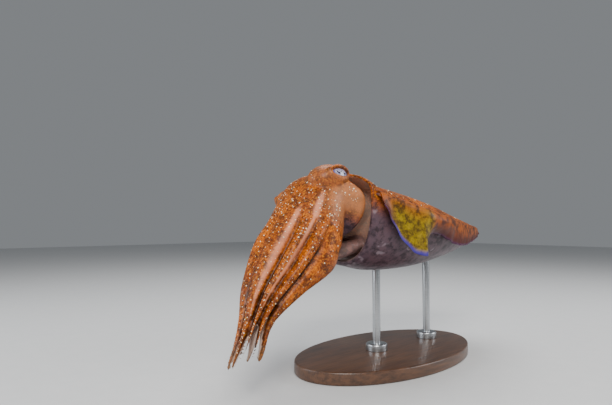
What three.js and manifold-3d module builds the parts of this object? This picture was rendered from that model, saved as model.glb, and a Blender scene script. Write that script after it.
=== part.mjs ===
import * as THREE from "three";
import Module from "manifold-3d";
import { mergeVertices } from "three/addons/utils/BufferGeometryUtils.js";

// A life-size cuttlefish, hovering with its arms hanging down, held over a flat base by two rods.
// Millimetres, +Z up. The head looks along -X and the tail along +X. The animal's left side is -Y.
// The origin is the centre of the base's underside.

// Driving sizes
const MANTLE_LENGTH = 242; // from the side of the mantle's front rim to the tail tip
const LOBE = 8; // how far the mantle's back reaches forward over the neck
const BELLY_SET_BACK = 5; // how far the front rim of the belly lies behind that of the sides
const MANTLE_WALL = 5;
const POCKET_DEPTH = 16; // how far the neck and the funnel go into the mantle
const GAP = 0.3; // between neighbours that touch
const NECK_GAP = 0.5; // between the mantle and the head
const FIN_ROOT_THICK = 2.6;
const FIN_EDGE_THICK = 1.1;
const ARM_THICK = 13; // from the outer skin of an arm to its suckers, at the root
const ARM_LENGTH = 130; // roughly, along its outer side
const HEIGHT = 166; // of the animal's own frame above the floor
const SET_BACK = 75; // from the mantle's front rim to the centre of the base
const HEAD_BANK = 14; // degrees, the left side up
const BODY_BANK = 5;
const BANK_AXIS = -15; // its height in the animal's own frame
const BASE_LENGTH = 230;
const BASE_WIDTH = 130;
const BASE_THICK = 12;
const BASE_CHAMFER = 2;
const ROD_RADIUS = 4;
const ROD_SINK = 8; // how deep a rod goes into the belly
const COLLAR_RADIUS = 11;
const COLLAR_HEIGHT = 7;

// The mantle's lines: along the body, half width, height of the fin line, rise above it and depth below it
const MANTLE_ROWS = [
  { at: 0, half: 50, line: 1, rise: 23, depth: 65 },
  { at: 0.05, half: 52.5, line: -3.5, rise: 17.5, depth: 63 },
  { at: 0.16, half: 57, line: -12, rise: 21, depth: 59 },
  { at: 0.36, half: 59, line: -23, rise: 22, depth: 48 },
  { at: 0.56, half: 52, line: -29, rise: 14, depth: 36 },
  { at: 0.76, half: 37, line: -32, rise: 8, depth: 23 },
  { at: 0.92, half: 17, line: -33, rise: 5, depth: 10 },
  { at: 1, half: 4, line: -33, rise: 3, depth: 3 },
];

// Along a fin: how far its margin hangs below the level, in degrees, the share of its width over which it bends
// there, and its width
const LEFT_FIN_ROWS = [
  { at: 0, slope: 74, snap: 0.4, width: 18 },
  { at: 0.05, slope: 92, snap: 0.3, width: 30 },
  { at: 0.1, slope: 96, snap: 0.27, width: 45 },
  { at: 0.14, slope: 95, snap: 0.27, width: 53 },
  { at: 0.18, slope: 90, snap: 0.34, width: 56 },
  { at: 0.215, slope: 118, snap: 0.6, width: 48 },
  { at: 0.26, slope: 150, snap: 0.85, width: 38 },
  { at: 0.31, slope: 150, snap: 0.9, width: 34 },
  { at: 0.37, slope: 120, snap: 0.68, width: 33 },
  { at: 0.45, slope: 94, snap: 0.36, width: 31 },
  { at: 0.57, slope: 98, snap: 0.28, width: 27 },
  { at: 0.7, slope: 100, snap: 0.25, width: 20 },
  { at: 0.84, slope: 98, snap: 0.25, width: 13 },
  { at: 0.95, slope: 86, snap: 0.3, width: 8 },
  { at: 1, slope: 60, snap: 0.5, width: 5 },
];
const RIGHT_FIN_ROWS = [
  { at: 0, slope: 20, snap: 0.6, width: 14 },
  { at: 0.07, slope: 4, snap: 0.6, width: 30 },
  { at: 0.18, slope: 30, snap: 0.6, width: 39 },
  { at: 0.3, slope: 72, snap: 0.6, width: 40 },
  { at: 0.42, slope: 55, snap: 0.6, width: 38 },
  { at: 0.54, slope: 10, snap: 0.6, width: 35 },
  { at: 0.66, slope: 5, snap: 0.6, width: 33 },
  { at: 0.78, slope: 45, snap: 0.6, width: 29 },
  { at: 0.92, slope: 35, snap: 0.6, width: 17 },
  { at: 1, slope: 15, snap: 0.6, width: 6 },
];

// The head's sections, from the neck to the roots of the arms: the centre, the tilt in degrees, the half width, and
// how far the section reaches from its centre towards the back and towards the belly
const HEAD_ROWS = [
  { at: 0, x: 15.7, z: -14, tilt: 0, half: 31, rise: 18, depth: 20 },
  { at: 0.14, x: 6, z: -12, tilt: 0, half: 33, rise: 18, depth: 22 },
  { at: 0.3, x: -4, z: -10, tilt: 2, half: 43.5, rise: 20, depth: 29 },
  { at: 0.46, x: -15, z: -6, tilt: 12, half: 43, rise: 26, depth: 33 },
  { at: 0.64, x: -29, z: -6, tilt: 30, half: 39, rise: 27, depth: 32 },
  { at: 0.82, x: -39, z: -20, tilt: 46, half: 39, rise: 27.5, depth: 34 },
  { at: 1, x: -46, z: -36, tilt: 54, half: 38, rise: 33, depth: 34 },
];

// The ring of arms, from the roots to the tips, in the same way
const CROWN_ROWS = [
  { at: 0, x: -46, z: -36, tilt: 54, half: 38, rise: 33, depth: 34 },
  { at: 0.17, x: -60, z: -55, tilt: 52, half: 37, rise: 35, depth: 26 },
  { at: 0.34, x: -78, z: -74, tilt: 48, half: 31, rise: 31, depth: 15.5 },
  { at: 0.51, x: -97, z: -92, tilt: 48, half: 22, rise: 23, depth: 12 },
  { at: 0.67, x: -110, z: -108, tilt: 54, half: 14, rise: 14, depth: 9 },
  { at: 0.84, x: -119, z: -123, tilt: 56, half: 9, rise: 8.5, depth: 7 },
  { at: 1, x: -128, z: -137, tilt: 52, half: 6.5, rise: 5.5, depth: 5 },
];

// The four arms of one side, from the back's to the belly's: edges of their share of the ring in degrees from the
// back, length as a share of the ring's, how much they narrow to the tip, height of the keel, its middle and half
// width across the arm, where the arm runs from -1 to 1, and how far the tip strays along X, Y and Z
const ARMS = [
  { number: 1, from: 0, to: 44, reach: 1, slim: 0.5, keel: 1.5, keelAt: 0, keelWide: 0.7, stray: [-6, 1, 0] },
  { number: 2, from: 44, to: 66, reach: 0.92, slim: 0.3, keel: 1.5, keelAt: 0, keelWide: 0.8, stray: [-2, 2, 2] },
  { number: 3, from: 66, to: 89, reach: 0.93, slim: 0.3, keel: 1.5, keelAt: 0, keelWide: 0.8, stray: [2, 3, 0] },
  { number: 4, from: 91, to: 178, reach: 0.93, slim: 0.65, keel: 6, keelAt: 0.3, keelWide: 1, stray: [5, 4, 0] },
];

const wasm = await Module();
wasm.setup();

const SKIN = new THREE.MeshStandardMaterial({ color: 0xb4621c, roughness: 0.5, metalness: 0 });
const FIN_SKIN = new THREE.MeshStandardMaterial({ color: 0xb87a1c, roughness: 0.5, metalness: 0 });
const BELLY_SKIN = new THREE.MeshStandardMaterial({ color: 0x9a8a94, roughness: 0.5, metalness: 0 });
const EYE_GLOSS = new THREE.MeshStandardMaterial({ color: 0x8d93b5, roughness: 0.1, metalness: 0 });
const BEAK_HORN = new THREE.MeshStandardMaterial({ color: 0xc9a58c, roughness: 0.4, metalness: 0 });
const STEEL = new THREE.MeshStandardMaterial({ color: 0xb8babc, roughness: 0.3, metalness: 1 });
const DARK_WOOD = new THREE.MeshStandardMaterial({ color: 0x2a211c, roughness: 0.5, metalness: 0 });

// Small tools

const clamp01 = (v) => Math.min(1, Math.max(0, v));
const smooth = (v) => clamp01(v) ** 2 * (3 - 2 * clamp01(v));
const radians = THREE.MathUtils.degToRad;

// The value of one column of a table of rows at a place, on a smooth curve through the rows.
function read(rows, key, at) {
  const last = rows.length - 1;
  let i = 0;
  while (i < last - 1 && at > rows[i + 1].at) i++;
  const [a, b] = [rows[i], rows[i + 1]];
  const span = b.at - a.at;
  const slope = (j) => {
    const [p, q] = [rows[Math.max(0, j - 1)], rows[Math.min(last, j + 1)]];
    return (q[key] - p[key]) / (q.at - p.at);
  };
  const t = clamp01((at - a.at) / span);
  const [t2, t3] = [t * t, t * t * t];
  const ends = (2 * t3 - 3 * t2 + 1) * a[key] + (3 * t2 - 2 * t3) * b[key];
  return ends + span * ((t3 - 2 * t2 + t) * slope(i) + (t3 - t2) * slope(i + 1));
}

// A closed skin over a row of rings of points, each with the same count, and a fan over either end.
function loft(rings) {
  const count = rings[0].length;
  const points = rings.flat();
  const middle = (ring) => ring.reduce((sum, p) => sum.add(p), new THREE.Vector3()).divideScalar(count);
  const index = [];
  for (let i = 0; i + 1 < rings.length; i++)
    for (let j = 0; j < count; j++) {
      const [a, b] = [i * count + j, i * count + ((j + 1) % count)];
      index.push(a, b, b + count, a, b + count, a + count);
    }
  const [first, end] = [points.length, points.length + 1];
  points.push(middle(rings[0]), middle(rings[rings.length - 1]));
  const tail = (rings.length - 1) * count;
  for (let j = 0; j < count; j++) {
    const k = (j + 1) % count;
    index.push(first, k, j, end, tail + j, tail + k);
  }
  return new THREE.BufferGeometry().setFromPoints(points).setIndex(index);
}

function toSolid(geometry) {
  const bare = geometry.clone();
  bare.deleteAttribute("normal");
  bare.deleteAttribute("uv");
  const merged = mergeVertices(bare, 1e-4);
  const solid = new wasm.Manifold(
    new wasm.Mesh({
      numProp: 3,
      vertProperties: merged.attributes.position.array,
      triVerts: new Uint32Array(merged.index.array),
    }),
  );
  if (solid.volume() >= 0) return solid;
  merged.index.array.reverse();
  return toSolid(merged);
}

function toGeometry(solid) {
  const mesh = solid.getMesh();
  return new THREE.BufferGeometry()
    .setAttribute("position", new THREE.BufferAttribute(mesh.vertProperties, 3))
    .setIndex(new THREE.BufferAttribute(mesh.triVerts, 1));
}

// The largest closed body of a solid, which drops any scrap and fills any sealed hollow.
function largest(solid) {
  return solid.decompose().reduce((a, b) => (b.volume() > a.volume() ? b : a));
}

const model = new THREE.Group();
const animal = new THREE.Group();
animal.position.set(-SET_BACK, 0, HEIGHT);
model.add(animal);

function place(parent, name, geometry, material) {
  const mesh = new THREE.Mesh(geometry, material);
  mesh.name = name;
  parent.add(mesh);
}

// Turns a solid made for the left side into the right side's.
const mirrored = (solid) => solid.mirror([0, 1, 0]);

// Leans a solid of the level animal over to its right side.
const banked = (solid, bank) =>
  solid.translate([0, 0, -BANK_AXIS]).rotate([-bank, 0, 0]).translate([0, 0, BANK_AXIS]);

function placeBody(name, solid, material, bank) {
  place(animal, name, toGeometry(banked(solid, bank)), material);
}

// Mantle: a domed back, a deep belly and a front rim that stands open round the neck

const MANTLE_SIDES = 30;
const MANTLE_STEPS = 16;
const MANTLE_SQUARE = 0.88; // 1 makes its sections ellipses, and less makes them squarer

// A point of the mantle's skin, at a share of its length and an angle that is 0 at the left fin line and
// a quarter turn at the back. The inset moves it inwards.
function mantlePoint(at, angle, inset = 0) {
  const [c, s] = [Math.cos(angle), Math.sin(angle)];
  const half = read(MANTLE_ROWS, "half", at) - inset;
  const tall = read(MANTLE_ROWS, s > 0 ? "rise" : "depth", at) - inset;
  const reach = smooth(1 - at / 0.3);
  const x = MANTLE_LENGTH * at - reach * (s > 0 ? LOBE * s ** 4 : -BELLY_SET_BACK * s ** 2);
  const y = -half * Math.sign(c) * Math.abs(c) ** MANTLE_SQUARE;
  return new THREE.Vector3(x, y, read(MANTLE_ROWS, "line", at) + tall * s);
}

function mantleRing(at, inset) {
  const turn = (j) => (-2 * Math.PI * j) / MANTLE_SIDES;
  return Array.from({ length: MANTLE_SIDES }, (_, j) => mantlePoint(at, turn(j), inset));
}

// The mantle's outside, grown outwards by a distance.
function mantleSkin(grow = 0) {
  const rings = [mantleRing(0, 1.6 - grow), mantleRing(0.012, -grow)];
  for (let i = 1; i <= MANTLE_STEPS; i++) rings.push(mantleRing((i / MANTLE_STEPS) ** 0.93, -grow));
  return toSolid(loft(rings));
}

// The pocket follows the mantle's outside one wall further in, so that the wall is even all round.
function mantleSolid() {
  const end = POCKET_DEPTH / MANTLE_LENGTH;
  const mouth = mantleRing(0, MANTLE_WALL).map((p) => p.clone().setX(p.x - LOBE));
  const floor = mantleRing(end, MANTLE_WALL).map((p) => p.clone().setX(POCKET_DEPTH));
  const pocket = [mouth, mantleRing(0, MANTLE_WALL), mantleRing(end / 2, MANTLE_WALL), floor];
  return mantleSkin().subtract(toSolid(loft(pocket)));
}

// Head and ring of arms: sections across one bent centre line

const CENTRE = { head: HEAD_ROWS, crown: CROWN_ROWS };

// The frame of a section: its centre, the way along, and the way to the back's side.
function section(part, at) {
  const rows = CENTRE[part];
  const centre = new THREE.Vector3(read(rows, "x", at), 0, read(rows, "z", at));
  const tilt = radians(read(rows, "tilt", at));
  const along = new THREE.Vector3(-Math.cos(tilt), 0, -Math.sin(tilt));
  const back = new THREE.Vector3(-Math.sin(tilt), 0, Math.cos(tilt));
  return { centre, along, back };
}

// A point of a section, at an angle in radians from the back towards the left side and a share of the radius.
function sectionPoint(part, at, angle, share = 1, out = 0) {
  const rows = CENTRE[part];
  const { centre, back } = section(part, at);
  const [c, s] = [Math.cos(angle), Math.sin(angle)];
  const half = read(rows, "half", at);
  const tall = read(rows, c > 0 ? "rise" : "depth", at);
  const radius = Math.hypot(half * s, tall * c);
  const grown = share + out / radius;
  return centre
    .addScaledVector(back, tall * c * grown)
    .add(new THREE.Vector3(0, -half * s * grown, 0));
}

const HEAD_SIDES = 24;
const HEAD_STEPS = 12;

function headSolid(grow = 0) {
  const turn = (j) => (2 * Math.PI * j) / HEAD_SIDES;
  const ring = (at) => Array.from({ length: HEAD_SIDES }, (_, j) => sectionPoint("head", at, turn(j), 1, grow));
  return toSolid(loft(Array.from({ length: HEAD_STEPS + 1 }, (_, i) => ring(i / HEAD_STEPS))));
}

// Eyes: a flattened ball in a mound of the head, under a lid with an almond opening. The right one is drawn in

const EYE_SIZE = [12, 7.9, 8.9];
const LID_THICK = 1.3;
const LID_OPENING = [8.8, 3.4];
const LID_SLOPE = 8;
const EYES = {
  left: { place: [-28, -36, 11], mound: [-28, -25, 9], size: [21, 17.6, 14.5] },
  right: { place: [-28, 36, 7.5], mound: [-28, 25, 4.5], size: [19, 16.5, 12.5] },
};

function ball(size, place) {
  const geometry = new THREE.SphereGeometry(1, 14, 9);
  geometry.scale(...size);
  geometry.translate(...place);
  return toSolid(geometry);
}

const eyeSolid = (eye, grow = 0) => ball(EYE_SIZE.map((v) => v + grow), eye.place);

// The opening between the lids, from the middle of the ball outwards.
function openingSolid(eye) {
  const [x, y, z] = eye.place;
  const geometry = new THREE.CylinderGeometry(1, 1, 24, 20);
  geometry.scale(LID_OPENING[0], 1, LID_OPENING[1]);
  geometry.rotateY(radians(LID_SLOPE));
  geometry.translate(x, y + 12 * Math.sign(y), z);
  return toSolid(geometry);
}

function moundSolid(eye) {
  const mound = ball(eye.size, eye.mound);
  return mound.add(eyeSolid(eye, LID_THICK)).subtract(openingSolid(eye)).subtract(eyeSolid(eye, GAP));
}

// Arms: each fills its own share of the ring, so that neighbours meet along furrows

const ARM_LENGTHS = ["base", "middle", "tip"];
const ARM_STEPS = 4;

// One cross ring of an arm, at a share of its own length: a rounded outer side with a keel, and a flat inner side.
function armRing(arm, along) {
  const at = arm.reach * along;
  const [from, to] = [radians(arm.from), radians(arm.to)];
  const [middle, spread] = [(from + to) / 2, (to - from) / 2];
  const slim = 1 - arm.slim * along ** 3;
  const radius = Math.hypot(read(CROWN_ROWS, "half", at), read(CROWN_ROWS, "rise", at)) / Math.SQRT2;
  const open = GAP / radius + 0.05 * smooth((along - 0.25) / 0.6);
  const reach = Math.max(0.06, spread * slim - open);
  const thick = Math.min(0.62, ARM_THICK / radius);
  const keel = arm.keel * smooth(along / 0.2) * smooth((0.65 - along) / 0.4);
  const stray = new THREE.Vector3(...arm.stray).multiplyScalar(smooth((along - 0.6) / 0.4));
  stray.y = -stray.y;
  const ring = [];
  const outer = 8;
  for (let j = 0; j <= outer; j++) {
    const u = (2 * j) / outer - 1;
    const round = 1 - 0.16 * Math.abs(u) ** 3 * smooth(along / 0.12);
    const ridge = keel * smooth(1 - Math.abs(u - arm.keelAt) / arm.keelWide);
    ring.push(sectionPoint("crown", at, middle + u * reach, round, ridge).add(stray));
  }
  const inner = 4;
  for (let j = 0; j <= inner; j++) {
    const u = 1 - (2 * j) / inner;
    ring.push(sectionPoint("crown", at, middle + u * reach * 0.86, 1 - thick).add(stray));
  }
  return ring;
}

// Where one length of an arm starts and ends, as shares of the arm, less the gaps to its neighbours.
function armSpan(length) {
  const share = 1 / ARM_LENGTHS.length;
  const before = (length === 0 ? GAP : GAP / 2) / ARM_LENGTH;
  const after = length === ARM_LENGTHS.length - 1 ? 0 : GAP / 2 / ARM_LENGTH;
  return [length * share + before, (length + 1) * share - after];
}

function armSolid(arm, length) {
  const [from, to] = armSpan(length);
  const rings = [];
  for (let i = 0; i <= ARM_STEPS; i++) rings.push(armRing(arm, from + ((to - from) * i) / ARM_STEPS));
  return suckers(arm, length).reduce((solid, sucker) => solid.add(sucker), toSolid(loft(rings)));
}

// Suckers: a double row of small cups on the inner side of each arm, smaller towards its tip

const SUCKER_PAIRS = [3, 3, 2]; // on the base, the middle and the tip of an arm
const SUCKER_SIDES = 5;
const SUCKER_SIZES = [2.4, 2.1, 1.8, 1.5, 1.2, 0.95, 0.75, 0.55]; // radii

let seed = 7;
function random() {
  seed = (seed * 16807) % 2147483647;
  return seed / 2147483647;
}

// One cup: a low wall with a rim round a shallow bowl, its foot sunk into the arm.
function cup(radius, foot, normal) {
  const profile = [
    [0, -0.5],
    [0.75, -0.5],
    [1, 0.8],
    [0, 0.25],
  ].map(([r, h]) => new THREE.Vector2(r * radius, h * radius));
  const geometry = new THREE.LatheGeometry(profile, SUCKER_SIDES);
  geometry.rotateY(2 * Math.PI * random());
  geometry.applyQuaternion(new THREE.Quaternion().setFromUnitVectors(new THREE.Vector3(0, 1, 0), normal));
  geometry.translate(foot.x, foot.y, foot.z);
  return toSolid(geometry);
}

function suckers(arm, length) {
  const [from, to] = armSpan(length);
  const cups = [];
  const rows = 2 * SUCKER_PAIRS[length];
  for (let i = 0; i < rows; i++) {
    const along = from + ((to - from) * (i + 0.6)) / (rows + 0.2);
    const ring = armRing(arm, along);
    const [one, other] = [ring[ring.length - 5], ring[ring.length - 1]];
    const middle = ring[ring.length - 3];
    const wide = one.distanceTo(other);
    const fit = SUCKER_SIZES.find((size) => size < 0.25 * wide) ?? SUCKER_SIZES[SUCKER_SIZES.length - 1];
    const radius = fit * (0.94 + 0.12 * random());
    const next = armRing(arm, along + 0.01);
    const run = next[next.length - 3].clone().sub(middle).normalize();
    const across = other.clone().sub(one).normalize();
    const normal = run.clone().cross(across).normalize();
    const centre = section("crown", arm.reach * along).centre;
    if (normal.dot(centre.sub(middle)) < 0) normal.negate();
    const side = i % 2 ? 0.24 : -0.24;
    const foot = middle.clone().addScaledVector(across, side * wide).addScaledVector(normal, 0.1 * radius);
    cups.push(cup(radius, foot, normal));
  }
  return cups;
}

// Mouth: lips round the beak, in the middle of the ring of arms

function mouthSolid() {
  const { centre, along } = section("head", 1);
  const closed = new THREE.LatheGeometry(
    [
      [0, 0],
      [10, 0],
      [10.5, 3],
      [8, 8],
      [3.5, 9.5],
      [0, 7.5],
    ].map(([r, h]) => new THREE.Vector2(r, h)),
    16,
  );
  closed.applyQuaternion(new THREE.Quaternion().setFromUnitVectors(new THREE.Vector3(0, 1, 0), along));
  const foot = centre.addScaledVector(along, GAP);
  closed.translate(foot.x, foot.y, foot.z);
  return toSolid(closed);
}

// Funnel: the short pipe under the neck that water is blown out of

const FUNNEL_ROWS = [
  { at: 0, x: 15.7, z: -46, half: 20, tall: 7.5 },
  { at: 0.4, x: 3, z: -49, half: 18, tall: 8 },
  { at: 0.75, x: -8, z: -52, half: 13, tall: 8 },
  { at: 1, x: -17, z: -55, half: 9, tall: 7 },
];
const FUNNEL_SIDES = 18;

function funnelRing(at, share, lift = 0) {
  return Array.from({ length: FUNNEL_SIDES }, (_, j) => {
    const angle = (2 * Math.PI * j) / FUNNEL_SIDES;
    const y = -read(FUNNEL_ROWS, "half", at) * share * Math.sin(angle);
    const z = read(FUNNEL_ROWS, "z", at) + read(FUNNEL_ROWS, "tall", at) * share * Math.cos(angle);
    return new THREE.Vector3(read(FUNNEL_ROWS, "x", at) - lift, y, z);
  });
}

function funnelSolid() {
  const steps = 7;
  const rings = [];
  for (let i = 0; i <= steps; i++) rings.push(funnelRing(i / steps, 1));
  const bore = [funnelRing(0.72, 0.55), funnelRing(1, 0.72), funnelRing(1, 0.74, 3)];
  return toSolid(loft(rings)).subtract(toSolid(loft(bore)));
}

// Fins: a thin frill along each side of the mantle, hanging and rising in waves

const FIN_STEPS = 38;
const FIN_ACROSS = 5;
const FIN_FRONT = 0.012;
const FIN_BACK = 0.955;
const FIN_TAPER = 0.35; // how much of the mantle's taper a fin's way out follows

// The middle sheet of a left fin: out from the mantle's side, then bending down with the wave.
function finSheet(finRows) {
  const rows = [];
  for (let i = 0; i <= FIN_STEPS; i++) {
    const along = i / FIN_STEPS;
    const at = FIN_FRONT + (FIN_BACK - FIN_FRONT) * along;
    const root = mantlePoint(at, 0);
    const step = 0.01;
    const ahead = mantlePoint(Math.min(1, at + step), 0).sub(mantlePoint(at - step, 0)).setZ(0);
    ahead.setY(ahead.y * FIN_TAPER).normalize();
    const outward = new THREE.Vector3(ahead.y, -ahead.x, 0);
    const width = read(finRows, "width", along);
    const slope = radians(read(finRows, "slope", along));
    const snap = read(finRows, "snap", along);
    const point = root.addScaledVector(outward, GAP);
    const row = [point.clone()];
    for (let j = 1; j <= FIN_ACROSS; j++) {
      const bend = slope * smooth((j / FIN_ACROSS - 0.06) / snap);
      point.addScaledVector(outward, (width / FIN_ACROSS) * Math.cos(bend));
      point.z -= (width / FIN_ACROSS) * Math.sin(bend);
      row.push(point.clone());
    }
    rows.push(row);
  }
  return rows;
}

// A sheet of points given its thickness, split into triangles alike on both faces.
function thicken(rows, thickness) {
  const [nu, nv] = [rows.length, rows[0].length];
  const at = (i, j) => rows[Math.min(nu - 1, Math.max(0, i))][Math.min(nv - 1, Math.max(0, j))];
  const faces = [1, -1].map((side) =>
    rows.map((row, i) =>
      row.map((p, j) => {
        const du = at(i + 1, j).clone().sub(at(i - 1, j));
        const dv = at(i, j + 1).clone().sub(at(i, j - 1));
        const normal = du.cross(dv).normalize();
        return p.clone().addScaledVector(normal, (side * thickness(j / (nv - 1))) / 2);
      }),
    ),
  );
  const points = faces.flat(2);
  const id = (side, i, j) => side * nu * nv + i * nv + j;
  const index = [];
  const quad = (a, b, c, d) => index.push(a, b, c, a, c, d);
  for (let i = 0; i + 1 < nu; i++)
    for (let j = 0; j + 1 < nv; j++) {
      index.push(id(0, i, j), id(0, i + 1, j), id(0, i + 1, j + 1));
      index.push(id(0, i, j), id(0, i + 1, j + 1), id(0, i, j + 1));
      index.push(id(1, i, j), id(1, i + 1, j + 1), id(1, i + 1, j));
      index.push(id(1, i, j), id(1, i, j + 1), id(1, i + 1, j + 1));
    }
  for (let i = 0; i + 1 < nu; i++) {
    quad(id(0, i, 0), id(1, i, 0), id(1, i + 1, 0), id(0, i + 1, 0));
    quad(id(0, i, nv - 1), id(0, i + 1, nv - 1), id(1, i + 1, nv - 1), id(1, i, nv - 1));
  }
  for (let j = 0; j + 1 < nv; j++) {
    quad(id(0, 0, j), id(0, 0, j + 1), id(1, 0, j + 1), id(1, 0, j));
    quad(id(0, nu - 1, j), id(1, nu - 1, j), id(1, nu - 1, j + 1), id(0, nu - 1, j + 1));
  }
  return new THREE.BufferGeometry().setFromPoints(points).setIndex(index);
}

function finSolid(finRows) {
  const thickness = (v) => FIN_ROOT_THICK + (FIN_EDGE_THICK - FIN_ROOT_THICK) * v;
  return toSolid(thicken(finSheet(finRows), thickness));
}

// Stand: an oval base with a chamfered edge, and two rods that go up into the belly

const ROD_PLACES = [
  { name: "front", at: 0.24 },
  { name: "rear", at: 0.6 },
];

function baseGeometry() {
  const outline = new THREE.Shape();
  const [a, b] = [BASE_LENGTH / 2 - BASE_CHAMFER, BASE_WIDTH / 2 - BASE_CHAMFER];
  outline.absellipse(0, 0, a, b, 0, 2 * Math.PI);
  const geometry = new THREE.ExtrudeGeometry(outline, {
    depth: BASE_THICK - 2 * BASE_CHAMFER,
    bevelThickness: BASE_CHAMFER,
    bevelSize: BASE_CHAMFER,
    bevelSegments: 1,
    curveSegments: 20,
  });
  return geometry.translate(0, 0, BASE_CHAMFER);
}

// The belly's skin right over the middle of the base, in the banked animal's frame.
function bellyOver(at) {
  const tries = Array.from({ length: 61 }, (_, i) => mantlePoint(at, radians(-120 + i)));
  const turn = new THREE.Quaternion().setFromAxisAngle(new THREE.Vector3(1, 0, 0), radians(-BODY_BANK));
  const lean = (p) => p.setZ(p.z - BANK_AXIS).applyQuaternion(turn).setZ(p.z + BANK_AXIS);
  return tries.map(lean).reduce((a, b) => (Math.abs(b.y) < Math.abs(a.y) ? b : a));
}

function rodSolid(rod, grow = 0) {
  const low = BASE_THICK + GAP - HEIGHT;
  const belly = bellyOver(rod.at);
  const high = belly.z + ROD_SINK + grow;
  const shaft = new THREE.CylinderGeometry(ROD_RADIUS + grow, ROD_RADIUS + grow, high - low, 20);
  shaft.rotateX(Math.PI / 2);
  shaft.translate(belly.x, 0, (high + low) / 2);
  return toSolid(shaft);
}

function collarGeometry(rod) {
  const profile = [
    [ROD_RADIUS + GAP, 0],
    [COLLAR_RADIUS, 0],
    [COLLAR_RADIUS, COLLAR_HEIGHT - 2],
    [COLLAR_RADIUS - 2, COLLAR_HEIGHT],
    [ROD_RADIUS + GAP, COLLAR_HEIGHT],
    [ROD_RADIUS + GAP, 0],
  ].map(([r, h]) => new THREE.Vector2(r, h));
  const geometry = new THREE.LatheGeometry(profile, 20);
  geometry.rotateX(Math.PI / 2);
  return geometry.translate(bellyOver(rod.at).x - SET_BACK, 0, BASE_THICK + GAP);
}

// Assembly

let mantle = mantleSolid();
for (const rod of ROD_PLACES) mantle = mantle.subtract(banked(rodSolid(rod, GAP), -BODY_BANK));
mantle = mantle.subtract(banked(headSolid(NECK_GAP), HEAD_BANK - BODY_BANK));
placeBody("mantle", largest(mantle), SKIN, BODY_BANK);

let head = headSolid();
for (const eye of Object.values(EYES))
  head = head.subtract(openingSolid(eye)).subtract(eyeSolid(eye, GAP)).add(moundSolid(eye));
placeBody("head", largest(head), SKIN, HEAD_BANK);
for (const [side, eye] of Object.entries(EYES)) placeBody(`eye_${side}`, eyeSolid(eye), EYE_GLOSS, HEAD_BANK);
placeBody("mouth", mouthSolid(), BEAK_HORN, HEAD_BANK);
const funnel = funnelSolid().subtract(banked(headSolid(GAP), HEAD_BANK - BODY_BANK));
placeBody("funnel", largest(funnel), BELLY_SKIN, BODY_BANK);
const fins = { left: finSolid(LEFT_FIN_ROWS), right: mirrored(finSolid(RIGHT_FIN_ROWS)) };
for (const [side, fin] of Object.entries(fins))
  placeBody(`fin_${side}`, largest(fin.subtract(mantleSkin(GAP))), FIN_SKIN, BODY_BANK);

for (const arm of ARMS)
  ARM_LENGTHS.forEach((length, i) => {
    const solid = armSolid(arm, i);
    placeBody(`arm_left_${arm.number}_${length}`, largest(solid), SKIN, HEAD_BANK);
    placeBody(`arm_right_${arm.number}_${length}`, largest(mirrored(solid)), SKIN, HEAD_BANK);
  });

place(model, "stand_base", baseGeometry(), DARK_WOOD);
for (const rod of ROD_PLACES) {
  place(animal, `stand_rod_${rod.name}`, toGeometry(rodSolid(rod)), STEEL);
  place(model, `stand_collar_${rod.name}`, collarGeometry(rod), STEEL);
}

export default model;
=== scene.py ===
import math
import random
import bpy
import numpy as np
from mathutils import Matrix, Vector, kdtree, noise
from mathutils.bvhtree import BVHTree


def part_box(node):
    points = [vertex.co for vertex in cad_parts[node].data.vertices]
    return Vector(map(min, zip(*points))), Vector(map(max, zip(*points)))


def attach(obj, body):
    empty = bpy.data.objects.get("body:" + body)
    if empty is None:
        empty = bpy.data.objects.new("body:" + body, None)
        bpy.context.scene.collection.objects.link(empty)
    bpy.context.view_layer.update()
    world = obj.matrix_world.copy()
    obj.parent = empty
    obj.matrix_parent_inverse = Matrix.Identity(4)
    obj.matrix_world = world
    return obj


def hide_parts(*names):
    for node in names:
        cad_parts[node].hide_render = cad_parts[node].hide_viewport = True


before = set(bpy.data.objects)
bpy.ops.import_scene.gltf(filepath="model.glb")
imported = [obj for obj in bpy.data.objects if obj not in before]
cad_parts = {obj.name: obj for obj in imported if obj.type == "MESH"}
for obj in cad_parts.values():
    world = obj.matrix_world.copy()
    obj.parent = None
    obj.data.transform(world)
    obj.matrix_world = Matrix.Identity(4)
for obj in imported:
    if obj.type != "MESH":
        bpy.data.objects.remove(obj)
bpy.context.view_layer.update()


# View. The camera hangs at the animal's left front, a little below the level of its eye, and looks slightly
# up. The floor is plain and pale, and the light comes from large soft panels in front, above and behind.

CAMERA_PLACE = (-0.4074, -0.3384, 0.14105)
CAMERA_LIFT = 2.569
CAMERA_HEADING = 48.984
CAMERA_LENS = 28.82
CAMERA_SENSOR = 36
STUDIO_COLOUR = (0.72, 0.76, 0.8, 1)
STUDIO_STRENGTH = 0.3
FLOOR_WIDTH = 6


def put_in_scene(name, data):
    """An object made from new data and linked to the scene."""
    piece = bpy.data.objects.new(name, data)
    bpy.context.scene.collection.objects.link(piece)
    return piece


def panel(name, place, aim, width, watts, colour):
    """A square soft light that hangs at a place and shines at another."""
    data = bpy.data.lights.new(name, "AREA")
    data.shape = "SQUARE"
    data.size = width
    data.energy = watts
    data.color = colour
    light = put_in_scene(name, data)
    light.location = place
    light.rotation_euler = (Vector(aim) - Vector(place)).to_track_quat("-Z", "Y").to_euler()


camera_data = bpy.data.cameras.new("camera")
camera_data.lens = CAMERA_LENS
camera_data.sensor_width = CAMERA_SENSOR
camera = put_in_scene("camera", camera_data)
camera.location = CAMERA_PLACE
camera.rotation_euler = (math.radians(90 + CAMERA_LIFT), 0, math.radians(CAMERA_HEADING - 90))
bpy.context.scene.camera = camera

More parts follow.
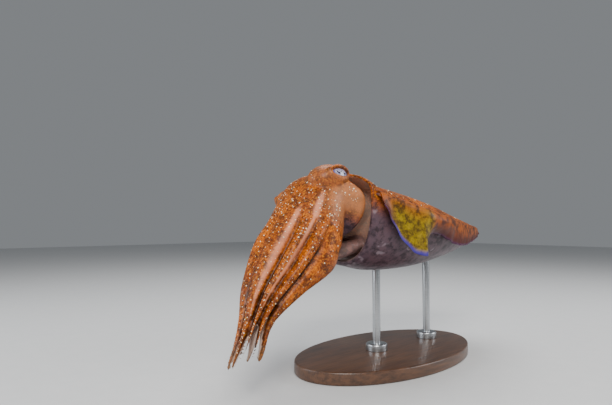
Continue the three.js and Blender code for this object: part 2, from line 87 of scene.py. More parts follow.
panel("key_light", (-0.75, -0.75, 0.85), aim=(-0.08, 0, 0.13), width=0.5, watts=15, colour=(1, 0.97, 0.92))
panel("fill_light", (-0.9, 0.5, 0.45), aim=(-0.1, 0, 0.12), width=0.7, watts=5, colour=(0.9, 0.95, 1))
panel("top_light", (0.25, 0.2, 1.1), aim=(0.02, 0, 0.12), width=0.8, watts=9, colour=(1, 1, 1))
panel("tail_light", (0.7, -0.7, 0.5), aim=(0.05, 0, 0.12), width=0.5, watts=5, colour=(0.95, 0.97, 1))

world = bpy.data.worlds.new("studio")
world.use_nodes = True
world.node_tree.nodes["Background"].inputs["Color"].default_value = STUDIO_COLOUR
world.node_tree.nodes["Background"].inputs["Strength"].default_value = STUDIO_STRENGTH
bpy.context.scene.world = world


class Wire:
    """A number that comes out of a shader node, so that sums on it add Math nodes."""

    def __init__(self, look, socket):
        self.look = look
        self.socket = socket

    def maths(self, operation, *others):
        inputs = {str(i): value for i, value in enumerate((self,) + others)}
        return self.look.node("ShaderNodeMath", {"operation": operation}, inputs)

    def __add__(self, other):
        return self.maths("ADD", other)

    def __sub__(self, other):
        return self.maths("SUBTRACT", other)

    def __mul__(self, other):
        return self.maths("MULTIPLY", other)

    def __truediv__(self, other):
        return self.maths("DIVIDE", other)

    def __rsub__(self, other):
        return (self * -1) + other

    __radd__ = __add__
    __rmul__ = __mul__

    def size(self):
        """The number without its sign."""
        return self.maths("ABSOLUTE")

    def step(self, low, high):
        """0 below low, 1 above high, and a soft change between them."""
        settings = {"interpolation_type": "SMOOTHSTEP"}
        inputs = {"Value": self, "From Min": low, "From Max": high}
        return self.look.node("ShaderNodeMapRange", settings, inputs)


class Look:
    """A material with one principled shader, and the method that adds any node to it."""

    TEXTURE_OBJECT_OUTPUT = 3
    MIX_COLOUR_OUTPUT = 2
    ATTRIBUTE_NUMBER_OUTPUT = 2

    def __init__(self, name, **fixed):
        self.material = bpy.data.materials.new(name)
        self.material.use_nodes = True
        self.tree = self.material.node_tree
        self.shader = self.tree.nodes["Principled BSDF"]
        for socket, value in fixed.items():
            self.shader.inputs[socket.replace("_", " ")].default_value = value

    def node(self, kind, settings=None, inputs=None, output=0):
        """Any node, from its type, its settings, and the values or links of its sockets by name or number."""
        node = self.tree.nodes.new(kind)
        for key, value in (settings or {}).items():
            setattr(node, key, value)
        for key, value in (inputs or {}).items():
            socket = node.inputs[int(key)] if key.isdigit() else node.inputs[key]
            if isinstance(value, Wire):
                self.tree.links.new(value.socket, socket)
            else:
                socket.default_value = value
        return Wire(self, node.outputs[output])

    def mix(self, factor, one, other):
        """One colour turned into another by a factor from 0 to 1."""
        inputs = {"0": factor, "6": one, "7": other}
        return self.node("ShaderNodeMix", {"data_type": "RGBA"}, inputs, self.MIX_COLOUR_OUTPUT)

    def place(self, scale=(1, 1, 1), turn=(0, 0, 0)):
        """The place on the object, stretched and turned."""
        here = self.node("ShaderNodeTexCoord", output=self.TEXTURE_OBJECT_OUTPUT)
        return self.node("ShaderNodeMapping", {}, {"Vector": here, "Scale": scale, "Rotation": turn})

    def noise(self, where, scale, detail=3, rough=0.5):
        inputs = {"Vector": where, "Scale": scale, "Detail": detail, "Roughness": rough}
        return self.node("ShaderNodeTexNoise", {}, inputs)

    def value(self, name):
        """A number kept at each vertex under a name."""
        return self.node("ShaderNodeAttribute", {"attribute_name": name}, {}, self.ATTRIBUTE_NUMBER_OUTPUT)

    def feed(self, **links):
        """Links wires to sockets of the shader, named with _ for each space."""
        for socket, wire in links.items():
            self.tree.links.new(wire.socket, self.shader.inputs[socket.replace("_", " ")])

    def bump(self, height, strength, distance):
        inputs = {"Height": height, "Strength": strength, "Distance": distance}
        self.feed(Normal=self.node("ShaderNodeBump", {}, inputs))


def tint(red, green, blue):
    """A colour as seen on a screen, from 0 to 255, in the linear numbers that a shader takes."""
    parts = [c / 255 for c in (red, green, blue)]
    return tuple(c / 12.92 if c < 0.04045 else ((c + 0.055) / 1.055) ** 2.4 for c in parts) + (1,)


floor_look = Look("pale_floor", Roughness=0.8)
grain = floor_look.noise(floor_look.place(), 60)
floor_look.feed(Base_Color=floor_look.mix(grain, tint(206, 207, 208), tint(214, 214, 214)))
bpy.ops.object.select_all(action="DESELECT")
bpy.ops.mesh.primitive_plane_add(size=FLOOR_WIDTH, location=(0, 0, 0))
floor = bpy.context.object
floor.name = "floor"
floor.data.materials.append(floor_look.material)


# Stand base. A thick oval board of dark stained hardwood, sawn out, its edges eased, and varnished. It lies
# flat and carries the two rods.

BASE_SIDES = 160
BASE_EASING = 0.002
EASING_STEPS = 4
SHARP_ANGLE = math.radians(40)
LEVEL = 1e-5


def ease_edges(piece, above, width):
    """Rounds off the level edges of a piece above a height, and shades it smooth up to its sharp edges."""
    bpy.ops.object.mode_set(mode="EDIT")
    bpy.ops.mesh.select_all(action="DESELECT")
    bpy.ops.object.mode_set(mode="OBJECT")
    for edge in piece.data.edges:
        one, other = (piece.data.vertices[i].co.z for i in edge.vertices)
        edge.select = abs(one - other) < LEVEL and one > above
    bpy.ops.object.mode_set(mode="EDIT")
    bpy.ops.mesh.bevel(offset=width, segments=EASING_STEPS, affect="EDGES")
    bpy.ops.mesh.select_all(action="SELECT")
    bpy.ops.mesh.normals_make_consistent(inside=False)
    bpy.ops.object.mode_set(mode="OBJECT")
    bpy.ops.object.shade_smooth_by_angle(angle=SHARP_ANGLE)


low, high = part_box("stand_base")
bpy.ops.object.select_all(action="DESELECT")
bpy.ops.mesh.primitive_cylinder_add(vertices=BASE_SIDES, radius=1, depth=1)
base = bpy.context.object
base.name = "oval_base"
bpy.ops.object.mode_set(mode="EDIT")
bpy.ops.transform.resize(value=(high.x, high.y, high.z))
bpy.ops.transform.translate(value=(0, 0, high.z / 2))
bpy.ops.object.mode_set(mode="OBJECT")
ease_edges(base, low.z - LEVEL, BASE_EASING)

wood = Look("dark_hardwood", Roughness=0.4, Coat_Weight=0.35, Coat_Roughness=0.18)
bands = wood.noise(wood.place(scale=(6, 60, 60)), 5, 6, 0.6)
pores = wood.noise(wood.place(scale=(40, 900, 900)), 1, 2)
rings = (bands + pores * 0.25).step(0.35, 0.85)
wood.feed(Base_Color=wood.mix(rings, tint(58, 38, 27), tint(99, 66, 44)), Roughness=0.34 + pores * 0.2)
wood.bump(pores, 0.25, 0.0002)
base.data.materials.append(wood.material)
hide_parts("stand_base")
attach(base, "root")


# Stand rods. Two bright steel rods with a brushed finish, driven into the board and let into the belly,
# each with a turned collar where it leaves the board.

ROD_SIDES = 64
ROD_RADIUS = 0.004
ROD_EASING = 0.0006
COLLAR_RADIUS = 0.011
COLLAR_EASING = 0.0018

steel = Look("brushed_steel", Metallic=1, Roughness=0.3)
streaks = steel.noise(steel.place(scale=(30, 30, 900)), 6, 4)
steel_tone = steel.mix(streaks, tint(168, 171, 174), tint(205, 207, 209))
steel.feed(Base_Color=steel_tone, Roughness=0.2 + streaks * 0.22)


def turned(name, node, radius, easing):
    """A round steel part that stands upright in the place of a node, with its top edge eased."""
    low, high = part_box(node)
    middle = (low + high) / 2
    bpy.ops.object.select_all(action="DESELECT")
    bpy.ops.mesh.primitive_cylinder_add(vertices=ROD_SIDES, radius=radius, depth=high.z - low.z)
    piece = bpy.context.object
    piece.name = name
    bpy.ops.object.mode_set(mode="EDIT")
    bpy.ops.transform.translate(value=middle)
    bpy.ops.object.mode_set(mode="OBJECT")
    ease_edges(piece, middle.z, easing)
    piece.data.materials.append(steel.material)
    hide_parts(node)
    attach(piece, "root")


for end in ("front", "rear"):
    turned(f"rod_{end}", f"stand_rod_{end}", ROD_RADIUS, ROD_EASING)
    turned(f"collar_{end}", f"stand_collar_{end}", COLLAR_RADIUS, COLLAR_EASING)


# Body. Flesh all through under a thin moist skin. It is drawn in millimetres in a level frame: the head
# along -X, the left side at -Y, the start of the mantle's side at the origin. Each part is then banked a
# little to show its left side, and lifted over the stand.

SET_BACK = 75
HEIGHT = 166
BANK_AXIS = -15
HEAD_BANK = 14
BODY_BANK = 5
MANTLE_LENGTH = 242
BACK_LOBE = 8
THROAT_NOTCH = 5
RIM_SHARE = 0.3
SIDE_FULLNESS = 0.88

MANTLE = {
    "at": (0, 0.05, 0.16, 0.36, 0.56, 0.76, 0.92, 1),
    "half": (50, 52.5, 57, 59, 52, 37, 17, 4),
    "line": (1, -3.5, -12, -23, -29, -32, -33, -33),
    "rise": (23, 17.5, 21, 22, 14, 8, 5, 3),
    "depth": (65, 63, 59, 48, 36, 23, 10, 3),
}
HEAD = {
    "at": (0, 0.14, 0.3, 0.46, 0.64, 0.82, 1),
    "x": (15.7, 6, -4, -15, -29, -39, -46),
    "z": (-14, -12, -10, -6, -6, -20, -36),
    "tilt": (0, 0, 2, 12, 30, 46, 54),
    "half": (31, 33, 43.5, 43, 39, 39, 38),
    "rise": (18, 18, 20, 26, 27, 27.5, 33),
    "depth": (20, 22, 29, 33, 32, 34, 34),
}
CROWN = {
    "at": (0, 0.17, 0.34, 0.51, 0.67, 0.84, 1),
    "x": (-46, -60, -78, -97, -110, -119, -128),
    "z": (-36, -55, -74, -92, -108, -123, -137),
    "tilt": (54, 52, 48, 48, 54, 56, 52),
    "half": (38, 37, 31, 22, 14, 9, 6.5),
    "rise": (33, 35, 31, 23, 14, 8.5, 5.5),
    "depth": (34, 26, 15.5, 12, 9, 7, 5),
}


def read(table, key, at):
    """The value of one column of a table at a place, on a smooth curve through its rows."""
    places, values = table["at"], table[key]
    last = len(places) - 1
    i = 0
    while i < last - 1 and at > places[i + 1]:
        i += 1

    def slope(j):
        before, after = max(0, j - 1), min(last, j + 1)
        return (values[after] - values[before]) / (places[after] - places[before])

    span = places[i + 1] - places[i]
    t = min(1, max(0, (at - places[i]) / span))
    ends = (2 * t**3 - 3 * t**2 + 1) * values[i] + (3 * t**2 - 2 * t**3) * values[i + 1]
    return ends + span * ((t**3 - 2 * t**2 + t) * slope(i) + (t**3 - t**2) * slope(i + 1))


def soft(v, low=0.0, high=1.0):
    """0 below low, 1 above high, and a soft change between them, for a number or an array."""
    t = np.clip((np.asarray(v, float) - low) / (high - low), 0, 1)
    return t * t * (3 - 2 * t)


def settle(points, bank):
    """Points of the level animal in its banked place over the stand, in metres."""
    points = np.array(points, float).reshape(-1, 3)
    turn = math.radians(-bank)
    y, z = points[:, 1].copy(), points[:, 2] - BANK_AXIS
    points[:, 1] = y * math.cos(turn) - z * math.sin(turn)
    points[:, 2] = y * math.sin(turn) + z * math.cos(turn) + BANK_AXIS
    return (points + (-SET_BACK, 0, HEIGHT)) / 1000


def mantle_ring(at, angles, inset=0):
    """Points of the mantle's skin round one place. Angle 0 is the left fin line, a quarter turn the back."""
    c, s = np.cos(angles), np.sin(angles)
    half = read(MANTLE, "half", at) - inset
    tall = np.where(s > 0, read(MANTLE, "rise", at), read(MANTLE, "depth", at)) - inset
    reach = float(soft(1 - at / RIM_SHARE))
    x = MANTLE_LENGTH * at - reach * np.where(s > 0, BACK_LOBE * s**4, -THROAT_NOTCH * s**2)
    y = -half * np.sign(c) * np.abs(c) ** SIDE_FULLNESS
    return np.stack([x, y, read(MANTLE, "line", at) + tall * s], 1)


def cross(table, at, angles, share=1.0, out=0.0):
    """Points of a section of the head or the ring of arms. Angle 0 is the back and turns to the left side."""
    c, s = np.cos(angles), np.sin(angles)
    tilt = math.radians(read(table, "tilt", at))
    half = read(table, "half", at)
    tall = np.where(c > 0, read(table, "rise", at), read(table, "depth", at))
    grown = share + out / np.hypot(half * s, tall * c)
    up = tall * c * grown
    x = read(table, "x", at) - up * math.sin(tilt)
    z = read(table, "z", at) + up * math.cos(tilt)
    return np.stack([x, -half * s * grown, z], 1)


def mesh_piece(name, points, faces):
    """A mesh from lists of points and faces, left as the only object selected."""
    data = bpy.data.meshes.new(name)
    data.from_pydata(points, [], faces)
    piece = put_in_scene(name, data)
    bpy.ops.object.select_all(action="DESELECT")
    piece.select_set(True)
    bpy.context.view_layer.objects.active = piece
    return piece


def keep_numbers(piece, name, numbers):
    """Keeps a number at each vertex of a piece, for its material to read."""
    layer = piece.data.attributes.new(name, "FLOAT", "POINT")
    layer.data.foreach_set("value", np.array(numbers, np.float32))


class Shell:
    """A closed skin built up ring by ring, with the numbers that its colours follow kept at each vertex."""

    # Of these, the mask for the undersides and the mask for the creases carry painted shade.
    MASKS = ("belly", "stripe", "crease_shade", "inner", "tip", "cheek", "fin", "edge", "lobe")

    def __init__(self):
        self.points, self.faces, self.masks = [], [], []

    def add(self, rings, masks, bank, mirror=False):
        """Rings of equal count, joined in order, with a fan over either end. Masks is one dict per ring."""
        start = sum(len(ring) for ring in self.points)
        count = len(rings[0])
        for ring, mask in zip(rings, masks):
            self.points.append(self.seat(ring, bank, mirror))
            self.masks.append(self.columns(mask, count))
        for ring, mask in ((rings[0], masks[0]), (rings[-1], masks[-1])):
            self.points.append(self.seat(ring.mean(0, keepdims=True), bank, mirror))
            self.masks.append(self.columns(mask, count).mean(0, keepdims=True))
        faces = []
        following = [(j + 1) % count for j in range(count)]
        for i in range(len(rings) - 1):
            a, b = start + i * count, start + (i + 1) * count
            faces += [(a + j, a + k, b + k, b + j) for j, k in enumerate(following)]
        last = start + (len(rings) - 1) * count
        first_hub = last + count
        faces += [(first_hub, start + k, start + j) for j, k in enumerate(following)]
        faces += [(first_hub + 1, last + j, last + k) for j, k in enumerate(following)]
        self.faces += [face[::-1] for face in faces] if mirror else faces

    def seat(self, ring, bank, mirror):
        return settle(ring * (1, -1, 1) if mirror else ring, bank)

    def columns(self, mask, count):
        return np.stack([np.broadcast_to(mask.get(name, 0.0), count) for name in self.MASKS], 1)

    def mesh(self, name):
        """The finished shell as a piece with its faces outwards."""
        piece = mesh_piece(name, np.concatenate(self.points).tolist(), self.faces)
        bpy.ops.object.mode_set(mode="EDIT")
        bpy.ops.mesh.select_all(action="SELECT")
        bpy.ops.mesh.normals_make_consistent(inside=False)
        bpy.ops.object.mode_set(mode="OBJECT")
        return piece


flesh = Shell()


# Mantle. A bag of muscle with a domed back and a deep belly, stiff along the back and closed to a blunt
# tail. Its front stands open round the neck, with a thick rounded rim and a hollow pocket behind it.

MANTLE_SIDES = 120
MANTLE_RINGS = 110
RING_CROWDING = 0.95
UNDERSIDE_SHADE_LINE = (-0.34, -0.02)
POCKET_DEPTH = 16
POCKET_PALENESS = 0.6
# Each step from the pocket's floor out to the rim, as its place along the mantle, inset and reach forward.
POCKET_STEPS = ((0.066, 5.4, 0), (0.055, 5.0, 0), (0.035, 4.8, 0), (0.015, 4.5, 0), (0, 4.2, 0))
RIM_STEPS = ((0, 3.2, 0.6), (0, 2.0, 0.8), (0, 0.9, 0.5), (0.004, 0.2, 0))

turns = -np.linspace(0, 2 * math.pi, MANTLE_SIDES, endpoint=False)
# The mantle's underside, below its fin line, is marked for painted shade.
underside = 1 - soft(np.sin(turns), *UNDERSIDE_SHADE_LINE)
rings, masks = [], []
for steps, paleness in ((POCKET_STEPS, POCKET_PALENESS), (RIM_STEPS, 0)):
    for at, inset, forward in steps:
        rings.append(mantle_ring(at, turns, inset) - (forward, 0, 0))
        masks.append({"belly": underside, "inner": paleness})
rings[0][:, 0] = POCKET_DEPTH
for i in range(1, MANTLE_RINGS + 1):
    rings.append(mantle_ring((i / MANTLE_RINGS) ** RING_CROWDING, turns))
    masks.append({"belly": underside})
flesh.add(rings, masks, BODY_BANK)


# Head. One soft swelling from the neck to the roots of the arms, with full pale cheeks, bent down in front.
# The neck is pale and sits loose inside the mantle's pocket.

HEAD_SIDES = 112
HEAD_RINGS = 60
NECK_TUCK = 2
NECK_PALENESS = 0.6
# Each pale stripe by its angle from the back, half width, strength, and the places where it starts and is
# full.
HEAD_STRIPES = ((61, 8, 1, 0.6, 0.85), (36, 7, 0.8, 0.8, 1))

around = np.linspace(0, 2 * math.pi, HEAD_SIDES, endpoint=False)
from_back = np.degrees(np.minimum(around, 2 * math.pi - around))


def bell(distance, width):
    """1 at no distance, falling away softly over a width."""
    return np.exp(-((distance / width) ** 2))


def head_masks(at):
    neck = 1 - soft(at, 0.12, 0.3)
    low_side = soft(from_back, 118, 150)
    cheek_band = soft(from_back, 58, 84) * (1 - soft(from_back, 112, 140))
    return {
        # Painted shade on the head's low side.
        "belly": low_side * (1 - soft(at, 0.75, 1)) * (1 - neck),
        "inner": NECK_PALENESS * neck,
        "cheek": cheek_band * soft(at, 0.1, 0.3) * (1 - soft(at, 0.72, 1)),
        "stripe": sum(
            strength * bell(from_back - angle, width) * soft(at, start, full)
            for angle, width, strength, start, full in HEAD_STRIPES
        ),
    }


head_places = [i / HEAD_RINGS for i in range(HEAD_RINGS + 1)]
rings = [cross(HEAD, at, around) for at in head_places]
rings[0][:, 0] += NECK_TUCK
flesh.add(rings, [head_masks(at) for at in head_places], HEAD_BANK)


# Brows. A broad mound of muscle for each eye, with thick soft lids round an almond opening that slopes down
# to the back. The upper lid swells over the eye, and the far eye is drawn in a little.

EYE_SIZE = np.array((12.0, 7.9, 8.9))
OPENING_LONG = 8.9
OPENING_TALL = 3.5
OPENING_SLOPE = math.radians(8)
OPENING_FULLNESS = 0.25
EYES = {
    "left": {"place": (-28, -36, 11), "mound": (-28, -25, 9), "size": (21, 17.6, 14.5)},
    "right": {"place": (-28, 36, 7.5), "mound": (-28, 25, 4.5), "size": (19, 16.5, 12.5)},
}
LID_SIDES = 84
# Each ring of a lid, by its spread from the opening, its height over the eyeball, its darkness, which is
# painted shade on the upper lid's rim, and whether it belongs to the lid's foot, which is drawn in.
LID_STEPS = (
    (0, -3, 0, False), (0, 0.6, 0.8, False), (0.35, 1.5, 0.8, False), (1.3, 1.9, 0, False),
    (2.8, 1.7, 0, False), (5, 0.4, 0, True), (7, -3, 0, True), (7, -7, 0, True),
)
LID_CREST = 1
LID_SWELL = 0.7
LID_DRAWN_IN = 0.92
MOUND_RINGS = 30
MOUND_PALENESS = 0.25


def on_eye(eye, x, z, out):
    """A point over an eyeball at a place across its front, raised above its surface."""
    depth = np.sqrt(np.clip(1 - (x / EYE_SIZE[0]) ** 2 - (z / EYE_SIZE[2]) ** 2, 0.02, 1))
    side = math.copysign(1, eye["place"][1])
    surface = np.stack([x, side * EYE_SIZE[1] * depth, z], 1)
    away = surface / EYE_SIZE
    away /= np.linalg.norm(away, axis=1, keepdims=True)
    return np.array(eye["place"]) + surface + away * np.reshape(out, (-1, 1))


lid_turn = np.linspace(0, 2 * math.pi, LID_SIDES, endpoint=False)
above = soft(np.sin(lid_turn), -0.3, 0.6)
lid_x = OPENING_LONG * np.cos(lid_turn)
lid_z = OPENING_TALL * np.sin(lid_turn) * np.abs(np.sin(lid_turn)) ** OPENING_FULLNESS
slope_cos, slope_sin = math.cos(OPENING_SLOPE), math.sin(OPENING_SLOPE)
for eye in EYES.values():
    mound = []
    for i in range(1, MOUND_RINGS):
        lift = -math.cos(math.pi * i / MOUND_RINGS)
        wide = math.sqrt(1 - lift * lift)
        ring = np.stack([wide * np.cos(lid_turn), wide * np.sin(lid_turn), np.full(LID_SIDES, lift)], 1)
        mound.append(np.array(eye["mound"]) + ring * eye["size"])
    flesh.add(mound, [{"cheek": MOUND_PALENESS}] * len(mound), HEAD_BANK)
    rings, masks = [], []
    for spread, out, darkness, foot in LID_STEPS:
        reach = (1 + spread / np.hypot(lid_x, lid_z)) * (LID_DRAWN_IN if foot else 1)
        x, z = lid_x * reach, lid_z * reach
        lift = out + (LID_SWELL * above if out > LID_CREST else 0)
        rings.append(on_eye(eye, x * slope_cos + z * slope_sin, z * slope_cos - x * slope_sin, lift))
        # The upper lid's rim over the eye is darkened with painted shade.
        masks.append({"crease_shade": darkness * above, "cheek": 0.5 * (1 - above)})
    flesh.add(rings, masks, HEAD_BANK)


# Funnel. A short flat pipe of pale muscle under the neck, which blows water out forwards. It grows out of
# the mantle's pocket, and its open end has a rounded lip and a bore.

FUNNEL = {
    "at": (0, 0.4, 0.75, 1),
    "x": (15.7, 3, -8, -17),
    "z": (-46, -49, -52, -55),
    "half": (20, 18, 13, 9),
    "tall": (7.5, 8, 8, 7),
}
FUNNEL_SIDES = 56
FUNNEL_RINGS = 26
FUNNEL_ROOT = (0, 1, 2)
# The lip and the bore, as place along the funnel, share of its width, and how far back of that place.
FUNNEL_LIP = ((1, 0.92, -0.4), (1, 0.8, -0.2))
FUNNEL_BORE = ((1, 0.74, 0.6), (0.9, 0.62, 0), (0.72, 0.5, 0))

pipe = np.linspace(0, 2 * math.pi, FUNNEL_SIDES, endpoint=False)


def funnel_ring(at, share, back):
    x = np.full(FUNNEL_SIDES, read(FUNNEL, "x", at) + back)
    y = -read(FUNNEL, "half", at) * share * np.sin(pipe)
    return np.stack([x, y, read(FUNNEL, "z", at) + read(FUNNEL, "tall", at) * share * np.cos(pipe)], 1)


outside = (FUNNEL_ROOT,) + tuple((i / FUNNEL_RINGS, 1, 0) for i in range(FUNNEL_RINGS + 1)) + FUNNEL_LIP
rings, masks = [], []
for steps, paleness in ((outside, 0.15), (FUNNEL_BORE, 0.5)):
    rings += [funnel_ring(*step) for step in steps]
    # The funnel lies under the head and is coloured mostly with painted shade.
    masks += [{"belly": 0.85, "inner": paleness}] * len(steps)
flesh.add(rings, masks, BODY_BANK)


# Arms. Eight thick tapering straps of muscle in a ring round the mouth, bunched and bent down. They lie
# flank to flank, ridged on the outer side and flat on the inner side, and the lowest pair has a broad keel.
# The right arms mirror the left ones.

ARM_THICK = 13
ARM_GAP = 0.3
ARM_OPENING = 0.05
ARM_NARROWEST = 0.06
ARM_THICKEST = 0.62
INNER_SHARE = 0.86
# From and to are angles from the back, in degrees. A keel has its height, its place across the outer side
# from -1 to 1, and its half width. Stray is how far the tip wanders. A stripe has place, half width and
# strength.
ARMS = (
    {"number": 1, "from": 0, "to": 44, "reach": 1, "slim": 0.5, "keel": (1.5, 0, 0.7),
     "stray": (-6, 1, 0), "shadow": 0.16, "stripes": ((0.62, 0.26, 1.0), (-0.5, 0.2, 0.35))},
    {"number": 2, "from": 44, "to": 66, "reach": 0.92, "slim": 0.3, "keel": (1.5, 0, 0.8),
     "stray": (-2, 2, 2), "shadow": 0.24, "stripes": ((0.6, 0.34, 1.0),)},
    {"number": 3, "from": 66, "to": 89, "reach": 0.93, "slim": 0.3, "keel": (1.5, 0, 0.8),
     "stray": (2, 3, 0), "shadow": 0.3, "stripes": ((-0.9, 0.25, 0.5),)},
    {"number": 4, "from": 91, "to": 178, "reach": 0.93, "slim": 0.65, "keel": (6, 0.3, 1),
     "stray": (5, 4, 0), "shadow": 0.1, "stripes": ((-0.86, 0.09, 0.5),)},
)
OUTER = 30
INNER = 12
ARM_RINGS = 74
ROOT_TILT = math.radians(read(CROWN, "tilt", 0))
ROOT_TUCK = 3
ROOT_SHARE = 0.96
TIP_SHARES = (0.85, 0.5)

outer_across = np.linspace(-1, 1, OUTER)
inner_across = np.linspace(1, -1, INNER)
arm_across = np.concatenate([outer_across, inner_across])
arm_inside = np.concatenate([np.zeros(OUTER), np.ones(INNER)])


def arm_ring(arm, along):
    """One cross ring of an arm: the rounded outer side from the back's edge down, then the inner side."""
    at = arm["reach"] * max(0, along)
    start, end = math.radians(arm["from"]), math.radians(arm["to"])
    middle, spread = (start + end) / 2, (end - start) / 2
    slim = 1 - arm["slim"] * max(0, along) ** 3
    radius = math.hypot(read(CROWN, "half", at), read(CROWN, "rise", at)) / math.sqrt(2)
    opened = ARM_GAP / radius + ARM_OPENING * float(soft((along - 0.25) / 0.6))
    reach = max(ARM_NARROWEST, spread * slim - opened)
    thick = min(ARM_THICKEST, ARM_THICK / radius)
    keel, keel_at, keel_wide = arm["keel"]
    keel *= float(soft(along / 0.2)) * float(soft((0.65 - along) / 0.4))
    stray = np.array(arm["stray"], float) * float(soft((along - 0.6) / 0.4)) * (1, -1, 1)
    flank = (0.07 + 0.13 * float(soft(along / 0.25))) * float(soft((along + 0.12) / 0.2))
    rounding = 1 - flank * np.abs(outer_across) ** 3
    ridge = keel * soft(1 - np.abs(outer_across - keel_at) / keel_wide)
    outer = cross(CROWN, at, middle + outer_across * reach, rounding, ridge)
    inner = cross(CROWN, at, middle + inner_across * reach * INNER_SHARE, 1 - thick)
    return np.concatenate([outer, inner]) + stray


def arm_masks(arm, along):
    outside = 1 - arm_inside
    # Painted shade along both edges of the outer side, where the arm lies against its neighbour, as wide as
    # its shadow share.
    crease_shade = soft(np.abs(arm_across), 1 - arm["shadow"], 1) * outside * float(soft(along, 0.02, 0.2))
    stripe = sum(strength * bell(arm_across - at, wide) for at, wide, strength in arm["stripes"])
    return {
        "crease_shade": crease_shade,
        "inner": arm_inside,
        "stripe": stripe * outside * (1 - float(soft(along, 0.5, 0.9))),
        "tip": float(soft(along, 0.8, 1.0)),
        # The lower part of the fourth arm's outer side takes half the painted shade of the undersides.
        "belly": 0.5 * soft(arm_across, 0.35, 0.9) * outside if arm["number"] == 4 else 0.0,
    }


for arm in ARMS:
    places = [i / ARM_RINGS for i in range(-1, ARM_RINGS + 1)]
    rings = [arm_ring(arm, along) for along in places]
    tuck = (ROOT_TUCK * math.cos(ROOT_TILT), 0, ROOT_TUCK * math.sin(ROOT_TILT))
    rings[0] = rings[0] * (1, ROOT_SHARE, 1) + tuck
    for i, share in zip((-2, -1), TIP_SHARES):
        centre = rings[i].mean(0)
        rings[i] = centre + (rings[i] - centre) * share
    for mirror in (False, True):
        flesh.add(rings, [arm_masks(arm, along) for along in places], HEAD_BANK, mirror)


# Skin. The mantle, head, brows, funnel and arms become one body with no seams, as on the animal. The skin
# is then softened, thinned out and raised in fine wrinkles, and takes its colour numbers from the parts it
# came from.

VOXEL = 0.00115
SOFTENING_ROUNDS = 4
KEPT_SHARE = 0.5
NEIGHBOURS = 3
NEAREST = 1e-4
# Wrinkles by how many lie in a metre, and their height in metres.
WRINKLES = ((170, 0.00016), (520, 0.00009))
BELLY_SMOOTHNESS = 0.5

skin = flesh.mesh("skin")
parts_tree = kdtree.KDTree(len(skin.data.vertices))
for vertex in skin.data.vertices:
    parts_tree.insert(vertex.co, vertex.index)
parts_tree.balance()
parts_masks = np.concatenate(flesh.masks)

remesh = skin.modifiers.new("one_body", "REMESH")
remesh.mode = "VOXEL"
remesh.voxel_size = VOXEL
bpy.ops.object.modifier_apply(modifier=remesh.name)
smooth = skin.modifiers.new("soften", "SMOOTH")
smooth.factor = 0.5
smooth.iterations = SOFTENING_ROUNDS
bpy.ops.object.modifier_apply(modifier=smooth.name)
thin = skin.modifiers.new("thin_out", "DECIMATE")
thin.ratio = KEPT_SHARE
bpy.ops.object.modifier_apply(modifier=thin.name)

skin_count = len(skin.data.vertices)
skin_masks = np.zeros((skin_count, len(Shell.MASKS)), np.float32)
skin_points = np.zeros((skin_count, 3), np.float32)
belly_column = Shell.MASKS.index("belly")
for i, vertex in enumerate(skin.data.vertices):
    near = parts_tree.find_n(vertex.co, NEIGHBOURS)
    weights = np.array([1 / (distance + NEAREST) for _, _, distance in near])
    skin_masks[i] = (parts_masks[[j for _, j, _ in near]] * weights[:, None]).sum(0) / weights.sum()
    relief = sum(height * noise.noise(vertex.co * fineness) for fineness, height in WRINKLES)
    relief *= 1 - BELLY_SMOOTHNESS * float(skin_masks[i, belly_column])
    skin_points[i] = vertex.co + vertex.normal * relief
skin.data.vertices.foreach_set("co", skin_points.ravel())
skin.data.update()


# Fins. A thin frill of muscle along each side of the mantle, thick at its root and thin at its margin, that
# ripples from front to back. Each grows out of the mantle's side, and both are joined to the skin.

FIN_FRONT = 0.012
FIN_BACK = 0.955
FIN_RINGS = 210
FIN_ACROSS = 26
FIN_ROOT_DEPTH = 2.5
FIN_ROOT_OUT = 0.1
FIN_HINGE = 0.06
FIN_LINE_TURN = 0.35
FIN_ROOT_THICK = 2.6
FIN_THINNING = 1.7
FIN_MARGIN_THICK = 0.45
# Ripples of the margin by height, how steeply they grow towards it, and turns along the fin in radians.
FIN_RIPPLES = ((0.9, 3, 118), (0.5, 2, 53))
# Along each fin: the angle that it bends down by, the share of its width that the bend takes, and the
# width.
LEFT_FIN = {
    "at": (0, 0.05, 0.1, 0.14, 0.18, 0.215, 0.26, 0.31, 0.37, 0.45, 0.57, 0.7, 0.84, 0.95, 1),
    "slope": (74, 92, 96, 95, 90, 118, 150, 150, 120, 94, 98, 100, 98, 86, 60),
    "snap": (0.4, 0.3, 0.27, 0.27, 0.34, 0.6, 0.85, 0.9, 0.68, 0.36, 0.28, 0.25, 0.25, 0.3, 0.5),
    "width": (18, 30, 45, 53, 56, 48, 38, 34, 33, 31, 27, 20, 13, 8, 5),
}
RIGHT_FIN = {
    "at": (0, 0.07, 0.18, 0.3, 0.42, 0.54, 0.66, 0.78, 0.92, 1),
    "slope": (20, 4, 30, 72, 55, 10, 5, 45, 35, 15),
    "snap": (0.6,) * 10,
    "width": (14, 30, 39, 40, 38, 35, 33, 29, 17, 6),
}


